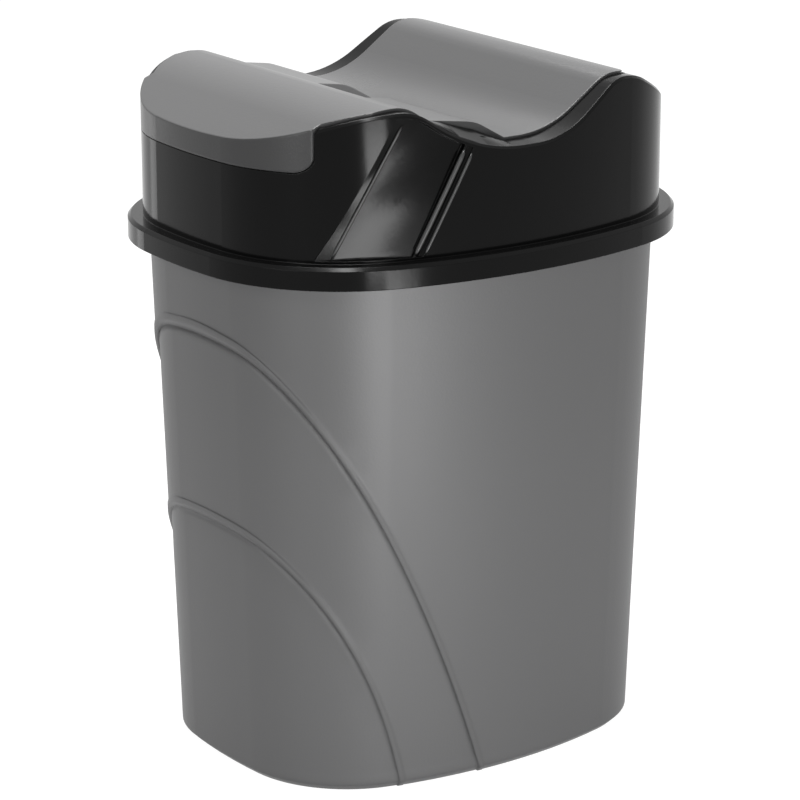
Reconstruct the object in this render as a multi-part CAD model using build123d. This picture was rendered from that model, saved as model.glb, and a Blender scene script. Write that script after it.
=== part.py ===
from build123d import *
import math
import os

# Swing-top kitchen bin: a stepped bucket, a wave-topped lid collar and a rocking flap.
# Millimetres. X runs across the bin, the front faces -Y, +Z is up, and the origin is the
# centre of the base.

# Bucket
bucket_height = 258.0        # floor to the top of the rim
mouth_half_x = 95.4          # half sizes at the top of the rim
mouth_half_y = 118.3
side_arc = 265.0             # radius of the bowed sides
front_arc = 300.0            # radius of the bowed front and back
mouth_corner = 67.5
wall_draft = 1.9             # degrees by which the walls lean in towards the base
bucket_wall = 1.8
base_thickness = 2.4
base_bevel = 3.0
foot_height = 3.0            # how far the base is lifted inside its foot ring
foot_width = 9.0
rim_reach = 7.0              # how far the rim stands out from the wall
rim_thickness = 2.0
rim_lip_depth = 6.0
rim_lip_thickness = 1.6

# Two arch lines on the bucket, each where one layer of the wall steps back behind the next.
# Each runs from the middle of the front, down both sides, to the floor, with a bead on its edge.
upper_arch_top = 217.0
upper_arch_foot_y = -15.0
upper_arch_bulge = 8.0
lower_arch_top = 127.0
lower_arch_foot_y = -57.0
lower_arch_bulge = 8.0
upper_step = 1.7             # depth of each step on the front
lower_step = 1.25
side_share = 0.5             # a step's depth on the sides, as a share of that on the front
bead_width = 2.6
bead_height = 0.5

# Lid collar
skirt_reach = 10.2           # skirt's outer face beyond the bucket's wall
skirt_depth = 8.0            # how far the skirt hangs below the top of the rim
flange_thickness = 2.6
flange_bevel = 1.6
collar_step = 2.9            # collar wall's outer face beyond the bucket's wall
collar_wall = 2.2
ledge_thickness = 2.2
rim_edge_bevel = 1.2
sill_rise = 43.5             # lower edge of the cut-out for the apron, above the bucket's rim

# Side view of the wave: crests, valley and the slopes between them. Heights are measured up
# from the bucket's rim, and places along Y in from the front or the back of its mouth.
front_crest_inset = 54.3
front_crest_rise = 70.0
valley_rise = 49.2
valley_flat = 3.0            # least length of the level floor between the valley's two curves
rear_crest_inset = 56.3
rear_crest_rise = 72.3
front_fall = 22.0            # degrees of slope in front of the front crest
front_dip = 33.0             # degrees between the front crest and the valley
rear_rise = 34.8             # degrees between the valley and the rear crest
rear_fall = 26.0             # degrees of slope behind the rear crest
front_crest_radius = 88.0
front_shoulder_radius = 22.6
front_valley_radius = 81.5
rear_valley_radius = 53.0
rear_shoulder_radius = 20.0
rear_crest_radius = 36.0

# Slanted channel on each side of the collar: heights above the bucket's rim, and places in
# from the front of its mouth at the foot and the head of the channel
channel_foot_rise = 4.0
channel_head_rise = 68.0
channel_front_foot = 19.3
channel_front_head = 52.3
channel_floor_foot = 25.8
channel_floor_head = 58.3
channel_back_foot = 59.3
channel_back_head = 92.8
channel_depth = 2.2
channel_roof = 2.6           # how far below the rim the channel stops
groove_width = 3.6
groove_depth = 1.2
groove_offset = 1.4          # rib left between the channel and the groove

# Flap
side_deck = 11.9             # width of the ledge beside the flap, from the bucket's wall
rear_deck = 48.3             # depth of the ledge behind the flap, from the bucket's wall
flap_rear_corner = 8.0
flap_proud = 1.2             # flap stands this much above the ledge
flap_skin = 2.2
flap_edge_depth = 8.0        # depth of the turned-down edge
flap_edge_thickness = 2.0
side_gap = 1.0
rear_gap = 2.0
front_lip = 2.5              # width of the collar's rim beside the flap's front corners
apron_half_x = 71.3
apron_corner = 7.0
apron_sill_gap = 0.4         # running gap between the apron's lower edge and its cut-out
apron_gap = 1.0

# Pivot: its place along Y and above the bucket's rim
pivot_y = -20.0
pivot_rise = 48.0
pin_radius = 3.0
pin_length = 3.8             # how far the pin reaches into its ear
pin_end_gap = 2.0            # depth of the bore beyond the pin's end
running_clearance = 0.06
hood_inner_x = 20.0          # each hood over a pin runs from here to the side of the flap
hood_front_reach = 25.4      # it leaves the dip this far in front of the pivot
hood_crown_reach = 1.5       # its crown lies this far behind the pivot
hood_slope = 8.0             # degrees of slope in front of the crown
hood_fall = 29.7             # degrees of slope behind the crown
hood_crown_radius = 25.0
hood_ramp = 45.0             # degrees by which the hood's inner end leans back
hood_skin = 2.0
disc_radius = 7.5
disc_thickness = 3.0
ear_thickness = 4.5
ear_radius = 6.2
ear_front_reach = 30.0       # the raised pad over each ear starts this far in front of the pivot
ear_rear_reach = 17.0
ear_rise = 8.3               # height of the pad's peak above the pivot
ear_outer_reach = 0.6        # the pad falls away to nothing this far beyond the bucket's wall
ear_rim_margin = 0.4         # flat left between the pad and the bevel on the collar's rim

# Sizes worked out from those above
reach = 2 * mouth_half_y     # larger than any half size, for cutting bodies
tiny = 1e-6                  # lengths below this count as nothing
lean = math.tan(math.radians(wall_draft))
skirt_bottom = bucket_height - skirt_depth
flange_top = bucket_height + flange_thickness
sill_z = bucket_height + sill_rise
apron_bottom_z = sill_z + apron_sill_gap
front_crest_y = front_crest_inset - mouth_half_y
front_crest_z = bucket_height + front_crest_rise
valley_z = bucket_height + valley_rise
rear_crest_y = mouth_half_y - rear_crest_inset
rear_crest_z = bucket_height + rear_crest_rise
collar_top = rear_crest_z + flap_edge_depth
channel_foot_z = bucket_height + channel_foot_rise
channel_head_z = bucket_height + channel_head_rise
flap_half_x = mouth_half_x - side_deck
flap_rear_y = mouth_half_y - rear_deck
pivot_z = bucket_height + pivot_rise
hood_front_y = pivot_y - hood_front_reach
hood_crown_y = pivot_y + hood_crown_reach
ear_front_y = pivot_y - ear_front_reach
ear_rear_y = pivot_y + ear_rear_reach
ear_peak_z = pivot_z + ear_rise
ear_outer_x = mouth_half_x + ear_outer_reach


def corner_point(half_x, half_y, corner):
    """Centre of the corner arc that runs smoothly into the side arc and the front arc."""
    side_x = half_x - side_arc
    front_y = half_y - front_arc
    to_side = side_arc - corner
    to_front = front_arc - corner
    gap = math.hypot(side_x, front_y)
    along = (to_side ** 2 - to_front ** 2 + gap ** 2) / (2 * gap)
    across = math.sqrt(to_side ** 2 - along ** 2)
    unit_x = -side_x / gap
    unit_y = front_y / gap
    return side_x + along * unit_x - across * unit_y, along * unit_y + across * unit_x


def outline_marks(half_x, half_y, corner, grow=0.0):
    """The five points that fix one quarter of an outline, from the side round to the front."""
    corner_x, corner_y = corner_point(half_x, half_y, corner)
    side_turn = math.atan2(corner_y, corner_x - half_x + side_arc)
    front_turn = math.atan2(corner_y - half_y + front_arc, corner_x)
    middle = (side_turn + front_turn) / 2
    arc = corner + grow
    return [
        (half_x + grow, 0.0),
        (corner_x + arc * math.cos(side_turn), corner_y + arc * math.sin(side_turn)),
        (corner_x + arc * math.cos(middle), corner_y + arc * math.sin(middle)),
        (corner_x + arc * math.cos(front_turn), corner_y + arc * math.sin(front_turn)),
        (0.0, half_y + grow),
    ]


def outline(half_x, half_y, corner, grow=0.0):
    """Bowed rounded rectangle of eight arcs that run smoothly into each other."""
    side, low, bend, high, front = outline_marks(half_x, half_y, corner, grow)

    def flip(point, x_sign, y_sign):
        return point[0] * x_sign, point[1] * y_sign

    edges = [
        ThreePointArc(flip(low, 1, -1), side, low),
        ThreePointArc(low, bend, high),
        ThreePointArc(high, front, flip(high, -1, 1)),
        ThreePointArc(flip(high, -1, 1), flip(bend, -1, 1), flip(low, -1, 1)),
        ThreePointArc(flip(low, -1, 1), flip(side, -1, 1), flip(low, -1, -1)),
        ThreePointArc(flip(low, -1, -1), flip(bend, -1, -1), flip(high, -1, -1)),
        ThreePointArc(flip(high, -1, -1), flip(front, 1, -1), flip(high, 1, -1)),
        ThreePointArc(flip(high, 1, -1), flip(bend, 1, -1), flip(low, 1, -1)),
    ]
    return make_face(edges)


def mouth_outline(grow):
    """Outline of the bucket's mouth, grown outwards by a distance."""
    return outline(mouth_half_x, mouth_half_y, mouth_corner, grow)


def block(face, low, high):
    """Upright prism of a face between two heights."""
    return extrude(Pos(0, 0, low) * face, high - low)


def side_prism(*edges, low_x=-reach, high_x=reach):
    """Prism along X of a shape drawn in the side view."""
    face = Plane.YZ * make_face(edges)
    return Pos(low_x, 0, 0) * extrude(face, high_x - low_x)


def bucket_layer(step, inset, low, high):
    """One tapered layer of the bucket's wall, set back by a step and then by an inset."""
    grow = (high - bucket_height) * lean - inset
    top = outline(mouth_half_x - step * side_share, mouth_half_y - step, mouth_corner, grow)
    layer = extrude(Pos(0, 0, high) * top, low - high, taper=wall_draft)
    foot = layer.faces().sort_by(Axis.Z)[0]
    return chamfer(foot.edges(), base_bevel)


def under_arch(top, foot_y, bulge, shift=0.0):
    """Everything in front of and below one arch line, moved up and back by a shift."""
    front_y = (bucket_height - top) * lean - mouth_half_y
    start = (front_y, top + shift)
    foot = (foot_y + shift, 0.0)
    slope = (start[1] - foot[1]) / (start[0] - foot[0])
    far = (-reach, start[1] + slope * (-reach - start[0]))
    below = (foot[0] - reach / slope, -reach)
    corner_y = -2 * reach
    return side_prism(
        Line(far, start),
        SagittaArc(start, foot, bulge),
        Line(foot, below),
        Line(below, (corner_y, -reach)),
        Line((corner_y, -reach), (corner_y, far[1])),
        Line((corner_y, far[1]), far),
    )


def upper_zone(shift=0.0):
    """Everything in front of the upper arch line."""
    return under_arch(upper_arch_top, upper_arch_foot_y, upper_arch_bulge, shift)


def lower_zone(shift=0.0):
    """Everything in front of the lower arch line."""
    return under_arch(lower_arch_top, lower_arch_foot_y, lower_arch_bulge, shift)


def bucket_body(inset, low, high):
    """The bucket's stepped form, set in by an inset all round."""
    outer = bucket_layer(0.0, inset, low, high)
    middle = bucket_layer(upper_step, inset, low, high)
    inner = bucket_layer(upper_step + lower_step, inset, low, high)
    return outer - (upper_zone() - middle) - (lower_zone() - inner)


def make_beads():
    """The two raised beads that follow the edges of the arch lines."""
    upper = bucket_layer(0.0, -bead_height, 0.0, bucket_height)
    upper &= upper_zone(bead_width) - upper_zone()
    lower = bucket_layer(upper_step, -bead_height, 0.0, bucket_height)
    lower &= lower_zone(bead_width) - lower_zone()
    return upper + lower


def make_bin_body():
    """The bucket: stepped wall, lifted base and a turned-down rim."""
    base_top = foot_height + base_thickness
    shell = bucket_body(0.0, 0.0, bucket_height) + make_beads()
    rim = block(mouth_outline(rim_reach), bucket_height - rim_lip_depth, bucket_height)
    rim -= block(mouth_outline(rim_reach - rim_lip_thickness), 0, bucket_height - rim_thickness)
    shell += rim
    shell -= bucket_body(bucket_wall, base_top, bucket_height + foot_height)
    foot = mouth_outline(-bucket_height * lean - foot_width)
    shell -= block(foot, 0, foot_height)
    return shell


def wave_points():
    """Corners of the side view's polyline, from the front to the back, and their radii."""
    fall = math.tan(math.radians(front_fall))
    dip = math.tan(math.radians(front_dip))
    rise = math.tan(math.radians(rear_rise))
    drop = math.tan(math.radians(rear_fall))
    crest_front = front_crest_y - front_crest_radius * math.tan(math.radians(front_fall / 2))
    shoulder = front_crest_y + front_shoulder_radius * math.tan(math.radians(front_dip / 2))
    dip_end = shoulder + (front_crest_z - valley_z) / dip
    rise_end = rear_crest_y - rear_shoulder_radius * math.tan(math.radians(rear_rise / 2))
    rise_start = rise_end - (rear_crest_z - valley_z) / rise
    taken = front_valley_radius * math.tan(math.radians(front_dip / 2))
    taken += rear_valley_radius * math.tan(math.radians(rear_rise / 2))
    share = min(1.0, (rise_start - dip_end - valley_flat) / taken)
    crest_rear = rear_crest_y + rear_crest_radius * math.tan(math.radians(rear_fall / 2))
    points = [
        (-reach, front_crest_z - (reach + crest_front) * fall),
        (crest_front, front_crest_z),
        (shoulder, front_crest_z),
        (dip_end, valley_z),
        (rise_start, valley_z),
        (rise_end, rear_crest_z),
        (crest_rear, rear_crest_z),
        (reach, rear_crest_z - (reach - crest_rear) * drop),
    ]
    radii = [
        front_crest_radius,
        front_shoulder_radius,
        front_valley_radius * share,
        rear_valley_radius * share,
        rear_shoulder_radius,
        rear_crest_radius,
    ]
    return points, radii


def under_wave(shift, low_x=-reach, high_x=reach):
    """Everything below the wave, with the wave raised or lowered by a shift."""
    points, radii = wave_points()
    raised = [(y, z + shift) for y, z in points]
    top = FilletPolyline(*raised, radius=radii)
    floor = skirt_bottom - skirt_depth
    return side_prism(
        top,
        Line(raised[-1], (reach, floor)),
        Line((reach, floor), (-reach, floor)),
        Line((-reach, floor), raised[0]),
        low_x=low_x,
        high_x=high_x,
    )


def both_sides(solid):
    """A solid and its mirror image on the other side of the bin."""
    return solid + mirror(solid, about=Plane.YZ)


def wall_point(y, grow):
    """Place and outward direction of the collar's outer wall beside the flap, at one y."""
    low = outline_marks(mouth_half_x, mouth_half_y, mouth_corner, collar_step)[1]
    if abs(y) <= low[1]:
        arc = side_arc + collar_step
        centre_x = mouth_half_x - side_arc
        centre_y = 0.0
    else:
        arc = mouth_corner + collar_step
        centre_x, corner_y = corner_point(mouth_half_x, mouth_half_y, mouth_corner)
        centre_y = math.copysign(corner_y, y)
    turn = math.asin((y - centre_y) / arc)
    radius = arc + grow
    return centre_x + radius * math.cos(turn), centre_y + radius * math.sin(turn)


def at_height(foot, head, height):
    """Place along Y of a slanted line at a height, from its distances in at foot and head."""
    part = (height - channel_foot_z) / (channel_head_z - channel_foot_z)
    return foot + (head - foot) * part - mouth_half_y


def channel_section(height, swell):
    """Plan of the slanted channel's cutter at a height, swollen by a wall thickness."""
    front = at_height(channel_front_foot, channel_front_head, height) - swell
    floor = at_height(channel_floor_foot, channel_floor_head, height) - swell / 2
    back = at_height(channel_back_foot, channel_back_head, height) + swell
    far = 3 * channel_depth
    edge_x, edge_y = wall_point(front, 0.0)
    deep_x, deep_y = wall_point(floor, -channel_depth - swell)
    out_x = edge_x + (edge_x - deep_x)
    out_y = edge_y + (edge_y - deep_y)
    points = [
        (edge_x, edge_y),
        (deep_x, deep_y),
        wall_point(back, -channel_depth - swell),
        wall_point(back, far),
        (mouth_half_x + reach, back),
        (mouth_half_x + reach, out_y),
    ]
    return Pos(0, 0, height) * make_face(Polyline(*points, close=True))


def groove_section(height):
    """Plan of the narrow groove's cutter, just behind the channel, at a height."""
    start = at_height(channel_back_foot, channel_back_head, height) + groove_offset
    middle = start + groove_width / 2
    end = start + groove_width
    points = [
        wall_point(start, 0.0),
        wall_point(middle, -groove_depth),
        wall_point(end, 0.0),
        wall_point(end, groove_depth),
        wall_point(start, groove_depth),
    ]
    return Pos(0, 0, height) * make_face(Polyline(*points, close=True))


def channel_cutter(swell):
    """Cutter of one side's slanted channel."""
    low = channel_foot_z - swell
    return loft([channel_section(low, swell), channel_section(collar_top, swell)], ruled=True)


def groove_cutter():
    """Cutter of one side's narrow groove."""
    sections = [groove_section(channel_foot_z), groove_section(collar_top)]
    return loft(sections, ruled=True)


def pivot_rod(radius, low_x, high_x):
    """Round rod along the pivot line between two places across the bin."""
    return Pos(low_x, pivot_y, pivot_z) * Rot(0, 90, 0) * Cylinder(
        radius, high_x - low_x, align=(Align.CENTER, Align.CENTER, Align.MIN)
    )


def flap_plan(grow):
    """Plan of the flap without its apron, grown outwards all round."""
    lip = collar_step - front_lip - side_gap
    half_x = flap_half_x + grow
    rear_y = flap_rear_y + (rear_gap if grow > 0 else grow)
    straight = Pos(0, (rear_y - reach) / 2) * Rectangle(2 * half_x, rear_y + reach)
    rear = [vertex for vertex in straight.vertices() if vertex.Y > 0]
    straight = fillet(rear, flap_rear_corner + grow)
    return straight & mouth_outline(lip + grow)


def apron_front(half_x, low, corner):
    """Front view of the apron: as wide as given, with its lower corners rounded."""
    shape = Pos(0, low + reach / 2) * Rectangle(2 * half_x, reach)
    feet = shape.vertices().sort_by(Axis.Y)[:2]
    return fillet(feet, corner)


def front_prism(shape):
    """Prism that runs forwards from the pivot line, of a shape drawn in the front view."""
    placed = Plane.XZ * shape
    return extrude(placed, mouth_half_y + reach) & Pos(0, pivot_y - reach, 0) * Box(
        4 * reach, 2 * reach, 4 * reach
    )


def dip_height(y):
    """Height of the wave at a place between the front crest and the valley."""
    dip = math.radians(front_dip)
    points, radii = wave_points()
    dip_end = points[3][0]
    radius = radii[2]
    floor_y = dip_end + radius * math.tan(dip / 2)
    if y < floor_y - radius * math.sin(dip):
        return valley_z + (dip_end - y) * math.tan(dip)
    return valley_z + radius - math.sqrt(radius ** 2 - (min(y, floor_y) - floor_y) ** 2)


def pad_section(x, lift):
    """Side view of the raised pad at one place across the bin, lifted by a share of its height."""
    middle_y = (ear_front_y + pivot_y) / 2
    marks = [
        (ear_front_y, dip_height(ear_front_y)),
        (middle_y, (dip_height(ear_front_y) + ear_peak_z) / 2),
        (pivot_y, ear_peak_z),
        (ear_rear_y, dip_height(ear_rear_y)),
    ]
    sunk = ledge_thickness / 4
    top = [(y, dip_height(y) - sunk + (z - dip_height(y) + sunk) * lift) for y, z in marks]
    low = valley_z - flap_edge_depth
    corners = top + [(ear_rear_y, low), (ear_front_y, low)]
    return Pos(x, 0, 0) * (Plane.YZ * make_face(Polyline(*corners, close=True)))


def make_ear():
    """One side's ear: a bearing plate under the ledge and the raised pad above it."""
    inner_x = flap_half_x + side_gap
    outer_x = inner_x + ear_thickness
    pad = loft([pad_section(inner_x, 1.0), pad_section(ear_outer_x, 0.0)], ruled=True)
    pad -= under_wave(-ledge_thickness / 2)
    pad &= block(mouth_outline(collar_step - rim_edge_bevel - ear_rim_margin), bucket_height, collar_top)
    plate = side_prism(
        Polyline(
            (pivot_y - ear_radius, pivot_z),
            (pivot_y + ear_radius, pivot_z),
            (pivot_y + ear_radius, valley_z),
            (pivot_y - ear_radius, valley_z + ledge_thickness),
            close=True,
        ),
        low_x=inner_x,
        high_x=outer_x,
    )
    return pad + plate + pivot_rod(ear_radius, inner_x, outer_x)


def rim_edges(solid):
    """Edges that run round the top of a solid, without those that cross it from side to side."""
    found = []
    for edge in solid.edges().filter_by(lambda item: item.center().Z > pivot_z):
        start, end = edge @ 0, edge @ 1
        if abs(start.Z - end.Z) > tiny or abs(start.Y - end.Y) > tiny:
            found.append(edge)
    return found


def make_lid_collar():
    """The collar: skirt, upright wall, wave-shaped ledge, channels and ears."""
    wall = block(mouth_outline(collar_step), bucket_height, collar_top) & under_wave(0.0)
    wall = chamfer(rim_edges(wall), rim_edge_bevel)
    channel = both_sides(channel_cutter(0.0) & under_wave(-channel_roof))
    groove = both_sides(groove_cutter() & under_wave(-channel_roof))
    wall = wall - channel - groove
    skirt = block(mouth_outline(skirt_reach), skirt_bottom, flange_top)
    skirt = chamfer(skirt.faces().sort_by(Axis.Z)[-1].edges(), flange_bevel)
    skirt -= block(mouth_outline(skirt_reach - collar_wall), skirt_bottom, bucket_height)
    hollow = block(mouth_outline(collar_step - collar_wall), skirt_bottom, collar_top)
    hollow &= under_wave(-ledge_thickness)
    hollow -= both_sides(channel_cutter(collar_wall))
    opening = block(flap_plan(side_gap), flange_top, collar_top)
    opening -= under_wave(-flap_edge_depth - side_gap)
    sill = apron_front(apron_half_x + apron_gap, sill_z, apron_corner + apron_gap)
    ears = both_sides(make_ear())
    bore_end = flap_half_x + side_gap + pin_length + pin_end_gap
    bore = both_sides(pivot_rod(pin_radius + running_clearance, flap_half_x, bore_end))
    return wall + skirt - hollow - opening - front_prism(sill) + ears - bore


def hood(sink, high_x):
    """Raised hood over one pin, lowered by a skin, with its inner end sloped down into the dip."""
    fall = math.tan(math.radians(hood_fall))
    slope = math.tan(math.radians(hood_slope))
    front_z = dip_height(hood_front_y) + flap_proud
    crown_z = front_z - (hood_crown_y - hood_front_y) * slope
    ramp_run = crown_z - valley_z
    low = bucket_height
    ahead = (hood_front_y - flap_edge_depth, front_z + flap_edge_depth * slope - sink)
    crown = (hood_crown_y, crown_z - sink)
    behind = (hood_crown_y + (crown_z - sink - low) / fall, low)
    below = (ahead[0], low)
    top = FilletPolyline(ahead, crown, behind, radius=hood_crown_radius)
    face = make_face([top, Line(behind, below), Line(below, ahead)])
    section = Pos(hood_inner_x, 0, 0) * (Plane.YZ * face)
    return extrude(section, high_x - hood_inner_x) + extrude(section, -ramp_run, taper=hood_ramp)


def flap_prism(inset):
    """Upright prism of the flap's plan with its apron's strip, set in by an inset."""
    low = valley_z - 2 * flap_edge_depth
    strip = Pos(0, -reach) * Rectangle(2 * (apron_half_x - inset), 2 * reach)
    plan = flap_plan(-inset) + (mouth_outline(collar_step - inset) & strip)
    return block(plan, low, collar_top)


def make_rocking_flap():
    """The flap: S-shaped skin, turned-down edge, apron, hoods and stub pins."""
    inner_x = flap_half_x - flap_edge_thickness
    crown = under_wave(flap_proud) + both_sides(hood(0.0, flap_half_x))
    under = under_wave(flap_proud - flap_skin) + both_sides(hood(hood_skin, inner_x))
    skin = flap_prism(0.0) & crown
    skin -= flap_prism(flap_edge_thickness) & under
    skin -= under_wave(flap_proud - flap_edge_depth)
    curtain = block(mouth_outline(collar_step), apron_bottom_z, rear_crest_z)
    curtain -= block(mouth_outline(collar_step - flap_edge_thickness), 0, rear_crest_z)
    curtain &= front_prism(apron_front(apron_half_x, apron_bottom_z, apron_corner))
    curtain &= crown
    disc = pivot_rod(disc_radius, flap_half_x - disc_thickness, flap_half_x)
    pin = pivot_rod(pin_radius, flap_half_x - disc_thickness, flap_half_x + side_gap + pin_length)
    return skin + curtain + both_sides(disc + pin)


bin_body = make_bin_body()
lid_collar = make_lid_collar()
rocking_flap = make_rocking_flap()
os.makedirs("parts", exist_ok=True)
export_step(bin_body, "parts/bin_body.step")
export_step(lid_collar, "parts/lid_collar.step")
export_step(rocking_flap, "parts/rocking_flap.step")
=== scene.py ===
import math

import bpy
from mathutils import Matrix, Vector
from mathutils.bvhtree import BVHTree


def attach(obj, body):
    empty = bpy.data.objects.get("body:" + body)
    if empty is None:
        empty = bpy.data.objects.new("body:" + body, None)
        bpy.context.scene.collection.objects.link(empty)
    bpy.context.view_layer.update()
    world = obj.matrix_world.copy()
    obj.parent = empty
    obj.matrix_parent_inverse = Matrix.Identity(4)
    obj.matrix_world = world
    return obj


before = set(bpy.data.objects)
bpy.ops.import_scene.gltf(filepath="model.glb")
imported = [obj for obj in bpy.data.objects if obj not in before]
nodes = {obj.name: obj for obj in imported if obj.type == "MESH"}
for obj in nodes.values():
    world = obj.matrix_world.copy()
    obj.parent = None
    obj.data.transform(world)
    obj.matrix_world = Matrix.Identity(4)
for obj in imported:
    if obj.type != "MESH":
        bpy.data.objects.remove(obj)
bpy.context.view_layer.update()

# Camera, solved from the outline of the bin in the photograph. Lengths are in metres.
CAMERA_AZIMUTH = 54.87
CAMERA_ELEVATION = 16.77
CAMERA_DISTANCE = 1.6625
CAMERA_LENS = 153.4
SENSOR_WIDTH = 36.0
TARGET_HEIGHT = 0.1624
TARGET_SIDE = -0.0012

# Colours as linear grey values
BUCKET_GREY = 0.12
FLAP_GREY = 0.054
COLLAR_BLACK = 0.002

EDGE_SAMPLES = 6

# White surroundings and floor
FILL_STRENGTH = 0.08
FLOOR_HALF = 12.0
FLOOR_GREY = 0.13
FLOOR_GLOW = 0.98

# Grain of the plastics: broad mottling, and how far tone and gloss stray with it
MOTTLE_SCALE = 9.0
MOTTLE_DETAIL = 3.0
TONE_RANGE = (0.96, 1.04)
GLOSS_RANGE = (0.93, 1.07)
GRAIN_DETAIL = 2.0
GRAIN_STRENGTH = 0.25

# Slanted channel on each side of the collar, with the CAD model's sizes
MOUTH_HALF_Y = 0.1183
CHANNEL_FOOT_Z = 0.262
CHANNEL_HEAD_Z = 0.326
CHANNEL_FLOOR = (0.0258, 0.0583)    # distances in from the mouth's front, at foot and head
CHANNEL_BACK = (0.0593, 0.0928)
RIB_MIDDLE = 0.0007                 # distances behind the channel's back edge
GROOVE_REAR = 0.0055

# Slim rounded edges laid along the channel and the groove
LINE_STEPS = 30
LINE_SIDES = 10
LINE_FOOT_Z = 0.2625
FRONT_LINE_TOP_Z = 0.322
RIB_LINE_TOP_Z = 0.309
GROOVE_LINE_TOP_Z = 0.307
FRONT_LINE_SHIFT = 0.0002
EDGE_LINE_RADIUS = 0.0009
RIB_LINE_RADIUS = 0.0012
TIP_SHARE = 0.05                    # square of the radius left at a line's tips
OUTSIDE_X = 0.3                     # a place clear of the collar, to look at its skin from


def look_direction(azimuth, elevation):
    """Unit vector from the bin towards a place round it. Azimuth 0 is the front, 90 the +X side."""
    turn = math.radians(azimuth)
    lift = math.radians(elevation)
    return Vector((
        math.sin(turn) * math.cos(lift),
        -math.cos(turn) * math.cos(lift),
        math.sin(lift),
    ))


def aim(thing, place, target):
    """Puts a lamp or camera at a place and points it at a target."""
    thing.location = place
    thing.rotation_euler = (target - place).to_track_quat("-Z", "Y").to_euler()


def make_camera():
    """Camera at the photograph's viewing angle."""
    data = bpy.data.cameras.new("camera")
    data.lens = CAMERA_LENS
    data.sensor_width = SENSOR_WIDTH
    camera = bpy.data.objects.new("camera", data)
    bpy.context.scene.collection.objects.link(camera)
    turn = math.radians(CAMERA_AZIMUTH)
    right = Vector((math.cos(turn), math.sin(turn), 0))
    target = Vector((0, 0, TARGET_HEIGHT)) + right * TARGET_SIDE
    back = look_direction(CAMERA_AZIMUTH, CAMERA_ELEVATION)
    aim(camera, target + back * CAMERA_DISTANCE, target)
    bpy.context.scene.camera = camera


def make_lamp(name, azimuth, elevation, distance, width, height, radiance, target_height=0.2):
    """Softbox: an area lamp round the bin, its power worked out from the brightness of its face."""
    data = bpy.data.lights.new(name, "AREA")
    data.shape = "RECTANGLE"
    data.size = width
    data.size_y = height
    data.energy = radiance * math.pi * width * height
    lamp = bpy.data.objects.new(name, data)
    bpy.context.scene.collection.objects.link(lamp)
    target = Vector((0, 0, target_height))
    aim(lamp, target + look_direction(azimuth, elevation) * distance, target)


def make_lamps():
    """Studio light: soft boxes above, in front, beside and behind the bin, two small bright cards that
    the glossy collar mirrors, and a dim strip on the -X side."""
    make_lamp("top_box", 20, 87, 1.6, 0.8, 0.8, 31.5)
    make_lamp("corner_box", 78, 11, 1.6, 0.4, 0.4, 6.0, 0.15)
    make_lamp("edge_box", 22, 6, 1.3, 0.3, 0.3, 8.0)
    make_lamp("front_box", 8, 32, 1.5, 0.35, 0.35, 6.0)
    make_lamp("low_card", 86, 0, 0.62, 0.13, 0.095, 20.0, 0.079)
    make_lamp("high_card", 75, 0, 0.62, 0.15, 0.085, 23.0, 0.1725)
    make_lamp("rear_box", 235, 50, 2.0, 0.6, 0.6, 8.0)
    make_lamp("left_strip", -70, 0, 0.9, 0.12, 0.3, 1.8, 0.16)


def seen_directly(tree):
    """Value that is 1 for camera, glossy and transmission rays, and 0 for the rest."""
    path = tree.nodes.new("ShaderNodeLightPath")
    total = path.outputs["Is Camera Ray"]
    for name in ("Is Glossy Ray", "Is Transmission Ray"):
        add = tree.nodes.new("ShaderNodeMath")
        add.operation = "MAXIMUM"
        tree.links.new(total, add.inputs[0])
        tree.links.new(path.outputs[name], add.inputs[1])
        total = add.outputs[0]
    return total


def make_world():
    """White all round where it is seen, and a soft grey light on the bin."""
    world = bpy.data.worlds.new("studio")
    bpy.context.scene.world = world
    world.use_nodes = True
    tree = world.node_tree
    tree.nodes.clear()
    seen = tree.nodes.new("ShaderNodeBackground")
    seen.inputs["Color"].default_value = (1, 1, 1, 1)
    fill = tree.nodes.new("ShaderNodeBackground")
    fill.inputs["Color"].default_value = (1, 1, 1, 1)
    fill.inputs["Strength"].default_value = FILL_STRENGTH
    mix = tree.nodes.new("ShaderNodeMixShader")
    out = tree.nodes.new("ShaderNodeOutputWorld")
    tree.links.new(seen_directly(tree), mix.inputs["Fac"])
    tree.links.new(fill.outputs[0], mix.inputs[1])
    tree.links.new(seen.outputs[0], mix.inputs[2])
    tree.links.new(mix.outputs[0], out.inputs["Surface"])


def make_floor():
    """Wide floor that is white where it is seen, so that no shadow shows under the bin."""
    mesh = bpy.data.meshes.new("floor")
    half = FLOOR_HALF
    corners = [(-half, -half, 0), (half, -half, 0), (half, half, 0), (-half, half, 0)]
    mesh.from_pydata(corners, [], [(0, 1, 2, 3)])
    floor = bpy.data.objects.new("floor", mesh)
    bpy.context.scene.collection.objects.link(floor)
    material = bpy.data.materials.new("floor")
    material.use_nodes = True
    tree = material.node_tree
    tree.nodes.clear()
    matt = tree.nodes.new("ShaderNodeBsdfDiffuse")
    matt.inputs["Color"].default_value = (FLOOR_GREY, FLOOR_GREY, FLOOR_GREY, 1)
    glow = tree.nodes.new("ShaderNodeEmission")
    glow.inputs["Strength"].default_value = FLOOR_GLOW
    add = tree.nodes.new("ShaderNodeAddShader")
    mix = tree.nodes.new("ShaderNodeMixShader")
    out = tree.nodes.new("ShaderNodeOutputMaterial")
    tree.links.new(matt.outputs[0], add.inputs[0])
    tree.links.new(glow.outputs[0], add.inputs[1])
    tree.links.new(seen_directly(tree), mix.inputs["Fac"])
    tree.links.new(matt.outputs[0], mix.inputs[1])
    tree.links.new(add.outputs[0], mix.inputs[2])
    tree.links.new(mix.outputs[0], out.inputs["Surface"])
    mesh.materials.append(material)


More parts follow.
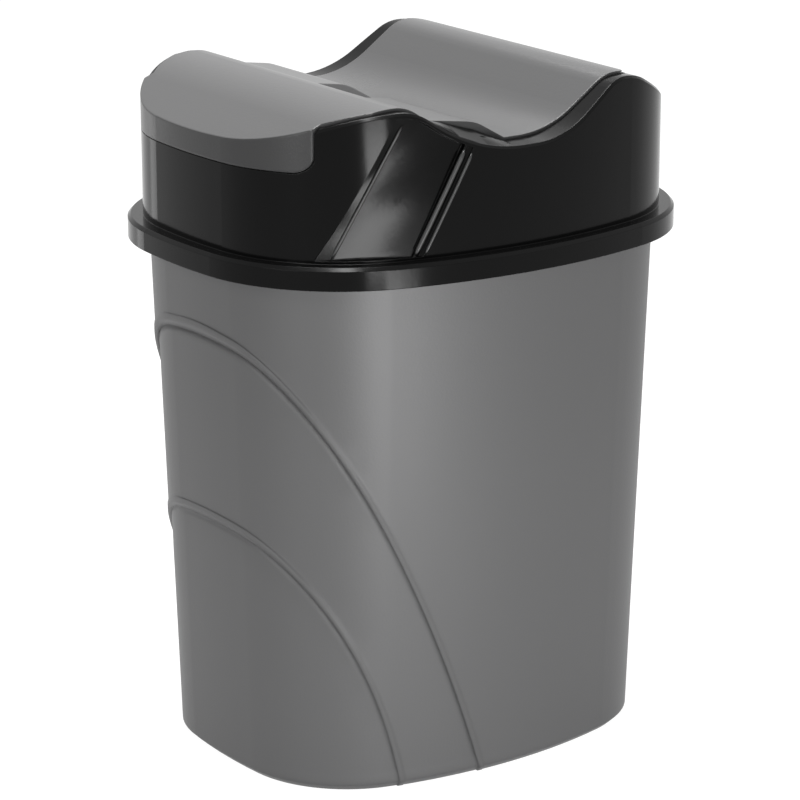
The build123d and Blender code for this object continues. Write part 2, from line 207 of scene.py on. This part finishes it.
def make_plastic(name, grey, roughness, specular, pearl, edge, grain, grain_depth):
    """Moulded plastic: faint mottling, fine grain, slightly uneven gloss and softly rounded edges."""
    material = bpy.data.materials.new(name)
    material.use_nodes = True
    tree = material.node_tree
    shader = tree.nodes["Principled BSDF"]
    shader.inputs["Specular IOR Level"].default_value = specular
    shader.inputs["Metallic"].default_value = pearl
    place = tree.nodes.new("ShaderNodeTexCoord")
    mottle = tree.nodes.new("ShaderNodeTexNoise")
    mottle.inputs["Scale"].default_value = MOTTLE_SCALE
    mottle.inputs["Detail"].default_value = MOTTLE_DETAIL
    tree.links.new(place.outputs["Object"], mottle.inputs["Vector"])
    tone = tree.nodes.new("ShaderNodeMapRange")
    tone.inputs["To Min"].default_value = TONE_RANGE[0]
    tone.inputs["To Max"].default_value = TONE_RANGE[1]
    tree.links.new(mottle.outputs["Fac"], tone.inputs["Value"])
    colour = tree.nodes.new("ShaderNodeVectorMath")
    colour.operation = "SCALE"
    colour.inputs[0].default_value = (grey, grey, grey * 1.01)
    tree.links.new(tone.outputs["Result"], colour.inputs["Scale"])
    tree.links.new(colour.outputs["Vector"], shader.inputs["Base Color"])
    gloss = tree.nodes.new("ShaderNodeMapRange")
    gloss.inputs["To Min"].default_value = roughness * GLOSS_RANGE[0]
    gloss.inputs["To Max"].default_value = roughness * GLOSS_RANGE[1]
    tree.links.new(mottle.outputs["Fac"], gloss.inputs["Value"])
    tree.links.new(gloss.outputs["Result"], shader.inputs["Roughness"])
    fine = tree.nodes.new("ShaderNodeTexNoise")
    fine.inputs["Scale"].default_value = grain
    fine.inputs["Detail"].default_value = GRAIN_DETAIL
    tree.links.new(place.outputs["Object"], fine.inputs["Vector"])
    rounded = tree.nodes.new("ShaderNodeBevel")
    rounded.samples = EDGE_SAMPLES
    rounded.inputs["Radius"].default_value = edge
    bump = tree.nodes.new("ShaderNodeBump")
    bump.inputs["Strength"].default_value = GRAIN_STRENGTH
    bump.inputs["Distance"].default_value = grain_depth
    tree.links.new(fine.outputs["Fac"], bump.inputs["Height"])
    tree.links.new(rounded.outputs["Normal"], bump.inputs["Normal"])
    tree.links.new(bump.outputs["Normal"], shader.inputs["Normal"])
    return material


def dress(node, material):
    """Gives a CAD node its finish."""
    mesh = nodes[node].data
    mesh.materials.clear()
    mesh.materials.append(material)


def surface_of(node):
    """The skin of a CAD node, for laying pieces on it."""
    piece = nodes[node]
    corners = [piece.matrix_world @ corner.co for corner in piece.data.vertices]
    return BVHTree.FromPolygons(corners, [tuple(face.vertices) for face in piece.data.polygons])


def line_path(skin, side, distances, shift, low, high):
    """Points of a slanted line on the collar's side, between two heights."""
    path = []
    for step in range(LINE_STEPS + 1):
        z = low + (high - low) * step / LINE_STEPS
        part = (z - CHANNEL_FOOT_Z) / (CHANNEL_HEAD_Z - CHANNEL_FOOT_Z)
        y = distances[0] + (distances[1] - distances[0]) * part + shift - MOUTH_HALF_Y
        path.append(skin.ray_cast(Vector((side * OUTSIDE_X, y, z)), Vector((-side, 0, 0)))[0])
    return path


def make_line(name, path, side, radius, material):
    """Slim rounded edge along a path on the collar, thinning to about a fifth at its tips."""
    corners = []
    faces = []
    for step, place in enumerate(path):
        along = path[min(step + 1, LINE_STEPS)] - path[max(step - 1, 0)]
        across = along.cross(Vector((side, 0, 0))).normalized()
        out = across.cross(along).normalized()
        ends = min(step, LINE_STEPS - step) / 2
        size = radius * math.sqrt(min(1.0, TIP_SHARE + ends))
        for corner in range(LINE_SIDES):
            turn = 2 * math.pi * corner / LINE_SIDES
            corners.append(place + out * size * math.cos(turn) + across * size * math.sin(turn))
    for step in range(LINE_STEPS):
        for corner in range(LINE_SIDES):
            here = step * LINE_SIDES + corner
            beside = step * LINE_SIDES + (corner + 1) % LINE_SIDES
            faces.append((here, beside, beside + LINE_SIDES, here + LINE_SIDES))
    faces.append(tuple(reversed(range(LINE_SIDES))))
    faces.append(tuple(range(LINE_STEPS * LINE_SIDES, (LINE_STEPS + 1) * LINE_SIDES)))
    mesh = bpy.data.meshes.new(name)
    mesh.from_pydata(corners, [], faces)
    mesh.shade_smooth()
    mesh.materials.append(material)
    line = bpy.data.objects.new(name, mesh)
    bpy.context.scene.collection.objects.link(line)
    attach(line, "lid")
    return line


def make_channel_lines(material):
    """The rounded edges that catch the light along both slanted channels."""
    skin = surface_of("lid_collar")
    for side, where in ((1, "right"), (-1, "left")):
        front_line = line_path(skin, side, CHANNEL_FLOOR, FRONT_LINE_SHIFT, LINE_FOOT_Z, FRONT_LINE_TOP_Z)
        make_line("channel_front_" + where, front_line, side, EDGE_LINE_RADIUS, material)
        rib_line = line_path(skin, side, CHANNEL_BACK, RIB_MIDDLE, LINE_FOOT_Z, RIB_LINE_TOP_Z)
        make_line("channel_rib_" + where, rib_line, side, RIB_LINE_RADIUS, material)
        groove_line = line_path(skin, side, CHANNEL_BACK, GROOVE_REAR, LINE_FOOT_Z, GROOVE_LINE_TOP_Z)
        make_line("groove_edge_" + where, groove_line, side, EDGE_LINE_RADIUS, material)


bpy.context.scene.view_settings.view_transform = "Standard"
make_camera()
make_lamps()
make_world()
make_floor()
dress("bin_body", make_plastic("bucket_plastic", BUCKET_GREY, 0.5, 0.5, 0.4, 0.0035, 900.0, 0.0002))
dress("lid_collar", make_plastic("collar_plastic", COLLAR_BLACK, 0.15, 0.1, 0.0, 0.0005, 500.0, 0.00005))
dress("rocking_flap", make_plastic("flap_plastic", FLAP_GREY, 0.28, 0.22, 0.0, 0.0015, 900.0, 0.0002))
make_channel_lines(make_plastic("edge_plastic", COLLAR_BLACK, 0.4, 0.6, 0.0, 0.0001, 500.0, 0.00002))
